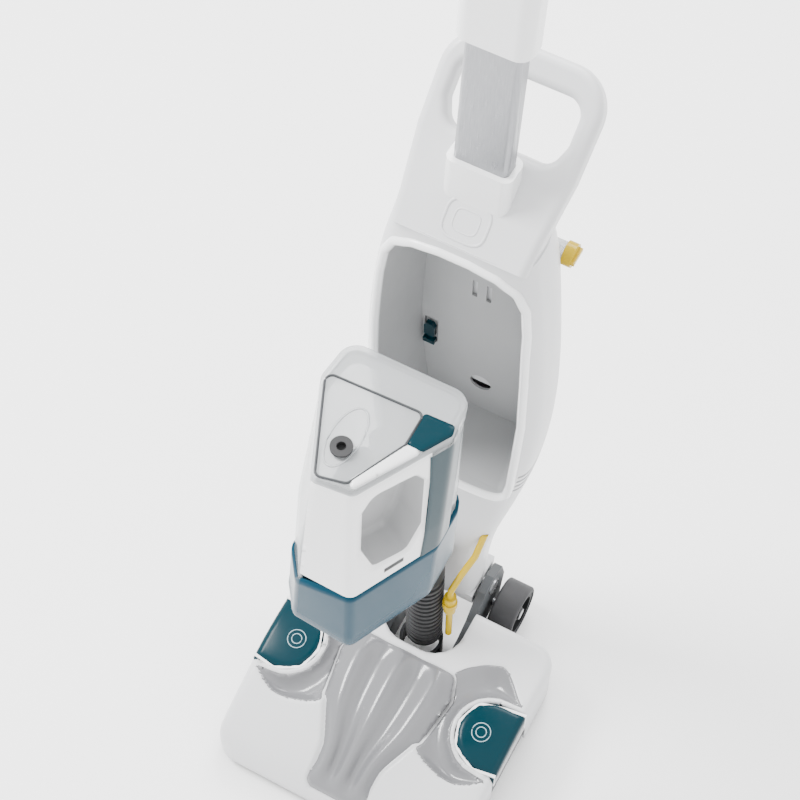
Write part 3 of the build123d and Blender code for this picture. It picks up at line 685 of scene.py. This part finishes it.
@dataclass
class Trimmed:
    """A grid cut to a shape, with its edge pulled down as a wall."""

    name: str
    low: Pair
    high: Pair
    step: float
    inside: Callable[[float, float], float]
    place: Callable[[float, float], Vector]
    wall: Point = (0.0, 0.0, 0.0)

    def make(self) -> bpy.types.Object:
        """Build the piece.

        Returns:
            The piece.
        """
        form = bmesh.new()
        wide, deep = self.high[0] - self.low[0], self.high[1] - self.low[1]
        across, along = round(wide / self.step), round(deep / self.step)
        bmesh.ops.create_grid(form, x_segments=across, y_segments=along, size=1.0)
        for vert in form.verts:
            x = self.low[0] + (vert.co.x + 1.0) / 2.0 * wide
            y = self.low[1] + (vert.co.y + 1.0) / 2.0 * deep
            vert.co = (*self.snapped(x, y), 0.0)
        outside = [
            face for face in form.faces
            if self.inside(*face.calc_center_median()[:2]) < 0.0
        ]
        bmesh.ops.delete(form, geom=outside, context="FACES")
        for vert in form.verts:
            vert.co = self.place(vert.co.x, vert.co.y)
        if any(self.wall):
            edges = [edge for edge in form.edges if edge.is_boundary]
            pulled = bmesh.ops.extrude_edge_only(form, edges=edges)["geom"]
            drop = Vector(self.wall) / 1000.0
            for vert in (item for item in pulled if isinstance(item, bmesh.types.BMVert)):
                vert.co += drop
        bmesh.ops.recalc_face_normals(form, faces=form.faces)
        return finish_mesh(self.name, form)

    def snapped(self, x: float, y: float) -> Pair:
        """Move a grid point that is near the edge onto it."""
        gap = self.inside(x, y)
        if abs(gap) > 0.72 * self.step:
            return x, y
        nudge = 0.05
        slope_x = (self.inside(x + nudge, y) - self.inside(x - nudge, y)) / (2 * nudge)
        slope_y = (self.inside(x, y + nudge) - self.inside(x, y - nudge)) / (2 * nudge)
        size = slope_x * slope_x + slope_y * slope_y or 1.0
        return x - gap * slope_x / size, y - gap * slope_y / size


def swept(name: str, path: list[Vector], radius: float) -> bpy.types.Object:
    """Round bead along a closed path.

    Args:
        name: the piece's name.
        path: points in the frame.
        radius: of the bead, in metres.

    Returns:
        The piece.
    """
    count = len(path)

    def place(u: float, v: float) -> Vector:
        """Point on the bead."""
        index = round(u * count) % count
        here = path[index]
        way = (path[(index + 1) % count] - path[index - 1]).normalized()
        side = way.orthogonal() if abs(way.y) > 0.99 else way.cross(Vector((0, 1, 0)))
        side.normalize()
        up = way.cross(side)
        turn = 2.0 * math.pi * v
        return here + (side * math.cos(turn) + up * math.sin(turn)) * radius

    return woven(name, count, BEAD_SIDES, place, wrap=True)


def thicken(piece: bpy.types.Object, depth: float) -> None:
    """Give a sheet a thickness.

    Args:
        piece: the sheet.
        depth: in millimetres, laid on the inner side.
    """
    solid = piece.modifiers.new("thickness", "SOLIDIFY")
    solid.thickness = depth / 1000.0
    solid.offset = -1.0


def fit(palette: Palette, piece: bpy.types.Object, body: str, slot: str, *nodes: str) -> None:
    """Dress a piece, hang it on its body and hide what it stands for.

    Args:
        palette: the finishes.
        piece: the new piece.
        body: the body that it rides on.
        slot: the finish's slot.
        nodes: the CAD nodes that it replaces.
    """
    palette.dress(piece, slot)
    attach(piece, body)
    if nodes:
        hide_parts(*nodes)
    LOG.info("%s: %d faces on %s", piece.name, len(piece.data.polygons), body)


# ---------------------------------------------------------------- foot
@dataclass
class Foot:
    """Top moulding of the brush foot, its nozzle cover and its two latches."""

    palette: Palette
    half: float = 146.0
    front: float = -130.0
    back: float = 122.0
    low: float = 12.0
    notch: list[Pair] = field(default_factory=lambda: outline_of(
        [(46, 53), (46, 300), (-46, 300), (-46, 53)], 34))
    crown: tuple[Pair, ...] = (
        (-130, 32), (-112, 47), (-75, 64), (-25, 80), (30, 87), (122, 88))
    cover: list[Pair] = field(default_factory=lambda: outline_of(
        mirrored(((34, -122), (36, -80), (58, -34), (66, 20), (58, 44))), 8))

    def latch_outline(self, side: int) -> list[Pair]:
        """Outline of a latch: flat outside, round inside."""
        turns = [math.radians(90 + 15 * step) for step in range(13)]
        bow = [(122 + 38 * math.cos(a), 2 + 38 * math.sin(a)) for a in turns]
        return [(side * x, y) for x, y in [(160, 42)] + bow + [(160, -38)]]

    def plan(self, x: float, y: float) -> float:
        """How far a point is inside the foot's rounded outline."""
        middle = (self.front + self.back) / 2.0
        corner = 26.0
        qx = abs(x) - self.half + corner
        qy = abs(y - middle) - (self.back - self.front) / 2.0 + corner
        return corner - math.hypot(max(qx, 0.0), max(qy, 0.0)) - min(max(qx, qy), 0.0)

    def trough(self, x: float, y: float, gap: float) -> float:
        """Depth of the scooped crescent round a latch."""
        reach = self.reach(x, y)
        if not LATCH_GAP < gap < reach:
            return 0.0
        share = (gap - LATCH_GAP) / (reach - LATCH_GAP)
        return 0.32 * (reach - LATCH_GAP) * math.sin(math.pi * share**0.7) ** 1.3

    def reach(self, x: float, y: float) -> float:
        """How far the crescent reaches from its latch, fading out at the foot's side."""
        return 5.0 + 38.0 * ease((146.0 - abs(x)) / 50.0) * ease((y + 82.0) / 40.0)

    def height(self, x: float, y: float, latches: tuple[list[Pair], ...]) -> float:
        """Height of the hood's skin."""
        top = read_curve(self.crown, y)
        edge = min(self.plan(x, y), 9.0)
        top -= 9.0 - math.sqrt(max(0.0, 81.0 - (9.0 - edge) ** 2))
        lip = -inside_of(self.notch, x, y)
        top += 1.2 * ease(1.0 - lip / 5.0) - 2.2 * ease(1.0 - lip / 1.8)
        gap = -inside_of(latches[x > 0], x, y)
        top -= self.trough(x, y, gap)
        rim = ease(1.0 - abs(gap - 2.0) / 2.4)
        top += 1.3 * rim
        under = inside_of(self.cover, x, y)
        return top - 4.0 * ease((under + 1.5) / 2.0)

    def build(self) -> None:
        """Build and dress every piece of the foot's top."""
        latches = (self.latch_outline(-1), self.latch_outline(1))

        def keep(x: float, y: float) -> float:
            """Inside the foot, outside the notch and the latches."""
            gap = -inside_of(latches[x > 0], x, y)
            return min(self.plan(x, y), -inside_of(self.notch, x, y), gap)

        def place(x: float, y: float) -> Vector:
            """Point of the hood's skin."""
            return mm(x, y, self.height(x, y, latches))

        hood = Trimmed("hood_skin", (-148, -132), (148, 124), 2.6, keep, place, (0, 0, -20)).make()
        self.straighten(hood)
        thicken(hood, 2.0)
        fit(self.palette, hood, "foot", "shell_white", "foot_hood")
        self.make_cover()
        # Each crescent gets a grey sheet of painted shade over the hood's scoop.
        for side, word in ((-1, "left"), (1, "right")):
            self.make_crescent_shade(side, word, latches)
        for side, word in ((-1, "left"), (1, "right")):
            self.make_latch(side, word, latches[side > 0])

    def make_crescent_shade(self, side: int, word: str, latches: tuple[list[Pair], ...]) -> None:
        """Line one scooped crescent with a grey sheet, painted shade of the scooped hollow.

        Args:
            side: -1 for the left, 1 for the right.
            word: the side's name.
            latches: the two openings' outlines.
        """

        def inside(x: float, y: float) -> float:
            """Inside the crescent's own outline."""
            gap = -inside_of(latches[side > 0], x, y)
            rim = min(self.plan(x, y) - 9.0, -inside_of(self.notch, x, y) - 5.0)
            clear = -inside_of(self.cover, x, y) - 3.0
            return min(gap - LATCH_GAP - 0.5, self.reach(x, y) - 2.0 - gap, rim, clear)

        def place(x: float, y: float) -> Vector:
            """Point of the crescent, just over the hood's skin."""
            return mm(x, y, self.height(x, y, latches) + 0.5)

        low, high = sorted((side * 40.0, side * 142.0))
        # The sheet in the cover's grey finish is painted shade in the crescent's scoop, laid just over
        # the white hood.
        crescent_shade_sheet = Trimmed(
            f"crescent_{word}", (low, -84), (high, 96), 2.0, inside, place, (0, 0, -0.6)).make()
        fit(self.palette, crescent_shade_sheet, "foot", "cover_grey")

    def straighten(self, hood: bpy.types.Object) -> None:
        """Take the outer wall straight down to the hood's lower edge."""
        for vert in hood.data.vertices:
            x, y = vert.co.x * 1000.0, vert.co.y * 1000.0 + ORIGIN_Y
            below = vert.co.z * 1000.0 < read_curve(self.crown, y) - 16.0
            if below and self.plan(x, y) < 0.6:
                vert.co.z = self.low / 1000.0

    def make_cover(self) -> None:
        """Build the smoked cover with its flutes running in to the front."""

        def place(x: float, y: float) -> Vector:
            """Point of the cover's skin."""
            wide = read_curve(((-122, 34), (-80, 37), (-34, 58), (20, 66), (44, 58)), y)
            share = x / wide
            edge = min(inside_of(self.cover, x, y), 4.0)
            fade = ease((y + 122.0) / 26.0) * ease((52.0 - y) / 30.0)
            flute = math.cos(share * math.pi * 3.0) * 4.4 - 2.0 * abs(share) ** 1.5
            top = read_curve(self.crown, y) + 2.2 + flute * fade
            return mm(x, y, top - 0.5 * (4.0 - edge))

        cover = Trimmed(
            "cover_skin", (-68, -124), (68, 46), 2.0,
            lambda x, y: inside_of(self.cover, x, y), place, (0, 0, -6)).make()
        thicken(cover, 1.6)
        fit(self.palette, cover, "nozzle_cover", "cover_grey", "nozzle_cover")

    def make_latch(self, side: int, word: str, outline: list[Pair]) -> None:
        """Build one domed latch and the ring on it.

        Args:
            side: -1 for the left, 1 for the right.
            word: the side's name.
            outline: the opening's outline.
        """

        def inside(x: float, y: float) -> float:
            """Inside the latch, clear of its opening and of the foot's side."""
            return min(inside_of(outline, x, y) - 1.4, self.half - 0.4 - abs(x))

        def place(x: float, y: float) -> Vector:
            """Point of the latch's crown."""
            edge = min(inside(x, y), 6.0)
            bulge = 2.2 * (1.0 - ((x - side * 116.0) / 36.0) ** 2 - (y / 44.0) ** 2)
            return mm(x, y, read_curve(self.crown, y) + bulge - 0.09 * (6.0 - edge) ** 2)

        low, high = sorted((side * 82.0, side * 148.0))
        crown = Trimmed(
            f"latch_{word}_crown", (low, -40), (high, 46), 2.0, inside, place, (0, 0, -15)).make()
        fit(self.palette, crown, f"latch_{word}", "teal_dark", f"latch_{word}")
        for number, radius in enumerate((10.0, 5.5)):
            path = []
            for step in range(40):
                turn = 2.0 * math.pi * step / 40
                x = side * 112.0 + radius * math.cos(turn)
                y = 1.0 + radius * math.sin(turn)
                path.append(place(x, y) + Vector((0, 0, 0.0001)))
            ring = swept(f"latch_{word}_ring_{number}", path, 0.0005)
            fit(self.palette, ring, f"latch_{word}", "icon_grey")


# ---------------------------------------------------------------- body
@dataclass
class Body:
    """What the upright body shows beyond its shells: the bay's bead and the blank pad."""

    palette: Palette
    mouth: tuple[Pair, ...] = (
        (65, 383), (69, 412), (72, 469), (74, 530), (72.5, 600), (69, 672), (65, 704),
        (56, 724), (38, 735), (14, 739))
    middle: tuple[Pair, ...] = (
        (88, 158), (152, 156), (234, 152), (345, 148), (440, 146), (540, 146), (620, 146),
        (700, 148), (752, 152))
    half: tuple[Pair, ...] = (
        (88, 32), (152, 36), (234, 46), (345, 68), (440, 83), (540, 87), (620, 83),
        (700, 74), (752, 64))
    depth: tuple[Pair, ...] = (
        (88, 28), (152, 34), (234, 37), (345, 37), (440, 36), (540, 36), (620, 36),
        (700, 33), (752, 30))
    lean: float = math.radians(49.0)

    def skin_y(self, x: float, z: float) -> float:
        """Where the body's front skin lies."""
        share = min(1.0, abs(x) / read_curve(self.half, z))
        out = (1.0 - share**4) ** 0.25
        return read_curve(self.middle, z) - read_curve(self.depth, z) * out

    def on_panel(self, across: float, along: float, proud: float) -> Vector:
        """Point over the leaning panel's front face."""
        s, c = math.sin(self.lean), math.cos(self.lean)
        return mm(across, 138.0 + along * s - proud * c, 765.0 + along * c + proud * s)

    def build(self) -> None:
        """Build and dress the body's details."""
        radii = [12.0] + [14.0] * 9 + [14.0] * 9 + [12.0]
        corners = mirrored(self.mouth)
        path = []
        ring = [p for p, _ in rounded(corners, radii, 4)]
        for index, point in enumerate(ring):
            gap = (ring[(index + 1) % len(ring)] - point).length
            steps = max(1, round(gap / 8.0))
            for step in range(steps):
                here = point.lerp(ring[(index + 1) % len(ring)], step / steps)
                path.append(mm(here.x, self.skin_y(here.x, here.y) + 0.4, here.y))
        bead = swept("bay_bead", path, 0.0042)
        fit(self.palette, bead, "upright", "trim_white", "bay_trim")
        for number, size in enumerate((19.0, 11.0)):
            loop = []
            for step in range(56):
                turn = 2.0 * math.pi * step / 56
                c, s = math.cos(turn), math.sin(turn)
                x = size * math.copysign(abs(c) ** 0.55, c)
                along = 1.0 + size * 0.86 * math.copysign(abs(s) ** 0.55, s)
                loop.append(self.on_panel(x, along, -0.3))
            ring_piece = swept(f"pad_ring_{number}", loop, 0.0009 if number else 0.0014)
            fit(self.palette, ring_piece, "upright", "shell_white")


# ---------------------------------------------------------------- dirty-water tank
@dataclass
class Tank:
    """Dirty-water tank: clear wall, blue base and band, white front with its finger scoop."""

    palette: Palette
    low: float = 398.0
    top: float = 676.0
    plans: tuple[tuple[float, tuple[Pair, ...]], ...] = (
        (398.0, ((12, -91), (50, -12), (50, 47), (-49, 47), (-66, -60), (-46, -87))),
        (540.0, ((13, -83), (55, -3), (54, 47), (-54, 47), (-68, -30), (-36, -83))),
        (676.0, ((13, -73), (58, 8), (56, 47), (-56, 47), (-60, 8), (-22, -77))),
    )
    radii: tuple[float, ...] = (8, 12, 16, 16, 12, 7)
    arc: int = 6
    scoop: list[Pair] = field(default_factory=lambda: outline_of(
        [(9, 570), (22, 530), (56, 524), (70, 556), (69, 628), (58, 646), (20, 650), (9, 632)], 8))

    def ring(self, z: float, grow: float) -> list[Vector]:
        """Outline of the tank at one height.

        Args:
            z: height.
            grow: how far outside the plain outline.

        Returns:
            Points from the nose's right-hand corner round by the back.
        """
        first, second = self.plans[:2] if z <= self.plans[1][0] else self.plans[1:]
        share = (z - first[0]) / (second[0] - first[0])
        corners = [
            (a[0] + (b[0] - a[0]) * share, a[1] + (b[1] - a[1]) * share)
            for a, b in zip(first[1], second[1])
        ]
        return [p + way * grow for p, way in rounded(corners, list(self.radii), self.arc)]

    def wall(self, along: float, z: float, grow: float) -> Vector:
        """Point on the tank's wall.

        Args:
            along: distance from the nose's right-hand ridge, positive to the right face.
            z: height.
            grow: how far outside the plain outline.

        Returns:
            The point in the frame.
        """
        ring = self.ring(z, grow)
        middle = self.arc // 2
        step = 1 if along >= 0 else -1
        left, index = abs(along), middle
        while True:
            here, ahead = ring[index % len(ring)], ring[(index + step) % len(ring)]
            gap = (ahead - here).length
            if left <= gap:
                spot = here.lerp(ahead, left / gap if gap else 0.0)
                return mm(spot.x, spot.y, z)
            left -= gap
            index += step

    def rim(self, x: float, y: float) -> float:
        """Height of the base's upper edge, lower at the left of the nose."""
        dip = ease((-30.0 - x) / 34.0) * ease((30.0 - y) / 60.0)
        return 500.0 - 46.0 * dip

    def build(self) -> None:
        """Build and dress every piece of the tank."""
        self.make_base()
        self.make_clear_wall()
        self.make_front()
        self.make_band()
        self.make_lid()

    def make_base(self) -> None:
        """Build the blue base with its rounded lower edge and curved upper edge."""
        steps = ((-30.0, 0.0), (-5.0, 0.0), (-2.0, 0.5), (0.6, 2.0), (2.1, 5.0), (2.6, 9.0))
        count = len(self.ring(self.low, 0.0))
        rows = len(steps) + 8

        def place(u: float, v: float) -> Vector:
            """Point on the base."""
            index, row = round(u * count) % count, round(v * rows)
            if row < len(steps):
                grow, lift = steps[row]
                spot = self.ring(self.low, grow)[index]
                return mm(spot.x, spot.y, self.low + lift)
            foot = self.ring(self.low, 0.0)[index]
            high = self.rim(foot.x, foot.y)
            share = (row - len(steps) + 1) / (rows - len(steps) - 1)
            z = self.low + 9.0 + (high - self.low - 9.0) * min(1.0, share)
            grow = 2.6 if share <= 1.0 else 0.2
            spot = self.ring(z, grow)[index]
            return mm(spot.x, spot.y, z)

        base = woven("base_shell", count, rows, place, wrap=True)
        fit(self.palette, base, "dirty_tank", "teal_blue", "tank_base")

    def make_clear_wall(self) -> None:
        """Build the clear wall from the band round the back to the nose."""
        count = len(self.ring(self.low, 0.0))
        first, last = self.arc + 4, count - 2

        def place(u: float, v: float) -> Vector:
            """Point on the clear wall."""
            index = first + round(u * (last - first))
            foot = self.ring(self.low, 0.0)[index]
            z = self.rim(foot.x, foot.y) - 3.0
            z += (664.0 - z) * v
            spot = self.ring(z, 0.0)[index]
            return mm(spot.x, spot.y, z)

        shell = woven("clear_wall", last - first, 40, place)
        thicken(shell, 2.2)
        fit(self.palette, shell, "dirty_tank", "clear", "tank_shell")

    def make_front(self) -> None:
        """Build the white front, rolled in round the finger scoop, and the scoop's pocket, whose white
        plastic is coloured mid grey as painted shade.
        """

        def inside(a: float, z: float) -> float:
            """Inside the front and outside the scoop."""
            left = -58.0 + 22.0 * (z - self.low) / (self.top - self.low)
            return min(a - left, 74.0 - a, z - 499.0, 668.0 - z, -inside_of(self.scoop, a, z))

        def place(a: float, z: float) -> Vector:
            """Point of the front's skin."""
            gap = -inside_of(self.scoop, a, z)
            roll = 3.0 * max(0.0, 1.0 - gap / 5.0) ** 2
            crown = 2.0 * max(0.0, (z - 662.0) / 6.0) ** 2
            return self.wall(a, z, 2.8 - roll - crown)

        front = Trimmed("front_skin", (-60, 497), (93, 670), 2.6, inside, place).make()
        fit(self.palette, front, "dirty_tank", "trim_white", "tank_front_panel")

        def pocket_place(u: float, v: float) -> Vector:
            """Point of the pocket: its side wall, then its floor."""
            count = len(self.scoop)
            a, z = self.scoop[round(u * count) % count]
            deep = min(1.0, v / 0.45)
            share = max(0.0, (v - 0.45) / 0.55)
            a, z = a + (40.0 - a) * share, z + (590.0 - z) * share
            edge = self.wall(a * (1.0 - 0.12 * deep) + 5.8 * deep, z, 0.0)
            slant = 1.0 - 0.42 * ease((z - 560.0) / 92.0)
            return edge + Vector((-0.90, 0.433, 0.0)) * 0.033 * deep**1.2 * slant

        # The pocket's mid-grey finish is painted shade of the recess; the plastic itself is white like
        # the front.
        pocket = woven("scoop_pocket", len(self.scoop), 16, pocket_place, wrap=True)
        fit(self.palette, pocket, "dirty_tank", "scoop_white")
        # A flat black sheet on the scoop's wall is painted shade standing for the slot's dark opening;
        # the rubber finish only gives it the colour.
        slot = woven(
            "scoop_slot_shade", 8, 4,
            lambda u, v: self.wall(34.0 + 20.0 * u, 511.0 + 6.5 * v, 3.05))
        fit(self.palette, slot, "dirty_tank", "black_rubber")

    def make_band(self) -> None:
        """Build the band up the right-hand edge."""

        def place(u: float, v: float) -> Vector:
            """Point of the band's skin."""
            z = 498.0 + 167.0 * v
            a = 72.0 + 40.0 * u + 3.0 * math.sin(math.pi * v) * (1.0 - u)
            edge = min(u, 1.0 - u, 0.08) / 0.08
            return self.wall(a, z, 3.0 + 0.5 * math.sqrt(edge))

        band = woven("band_skin", 24, 40, place)
        fit(self.palette, band, "dirty_tank", "teal_dark", "tank_band")

    def make_lid(self) -> None:
        """Build the lid's white and blue top, the dark edge of its window and its raised oval."""

        def flat(name: str, corners: list[Pair], slot: str, lift: float) -> None:
            """Low plate on the lid."""
            outline = outline_of(corners, 3.0)

            def place(x: float, y: float) -> Vector:
                """Point of the plate."""
                edge = min(inside_of(outline, x, y), 2.5)
                return mm(x, y, self.top + lift - 0.16 * (2.5 - edge) ** 2)

            xs, ys = [p[0] for p in corners], [p[1] for p in corners]
            plate = Trimmed(
                name, (min(xs) - 1, min(ys) - 1), (max(xs) + 1, max(ys) + 1), 1.8,
                lambda x, y: inside_of(outline, x, y), place, (0, 0, -2.5)).make()
            fit(self.palette, plate, "tank_lid", slot)

        flat("lid_front", [(11, -74), (45, -17), (30, -17), (6, -66)], "trim_white", 1.2)
        flat("lid_band", [(30, -17), (45, -17), (59, 8), (57, 16), (30, 15)], "teal_dark", 1.5)
        window = outline_of([(-59, 11), (30, 14), (30, -18), (6, -70), (-20, -76)], 6.0)
        path = [mm(x, y, self.top + 0.3) for x, y in window]
        edge = swept("window_edge", path, 0.0011)
        fit(self.palette, edge, "tank_lid", "edge_grey")
        oval = []
        for step in range(48):
            turn = 2.0 * math.pi * step / 48
            oval.append(mm(-15 + 13 * math.cos(turn), -34 + 29 * math.sin(turn), self.top + 0.2))
        ring = swept("lid_oval", oval, 0.0009)
        fit(self.palette, ring, "tank_lid", "smoke_clear")


def main() -> None:
    """Build the washer's looks in order."""
    Studio().build()
    palette = Palette()
    palette.dress_frame()
    LOG.info("dressed %d nodes", len(frame["nodes"]))
    for part in (Foot(palette), Body(palette), Tank(palette)):
        part.build()


if __name__ == "__main__":
    main()
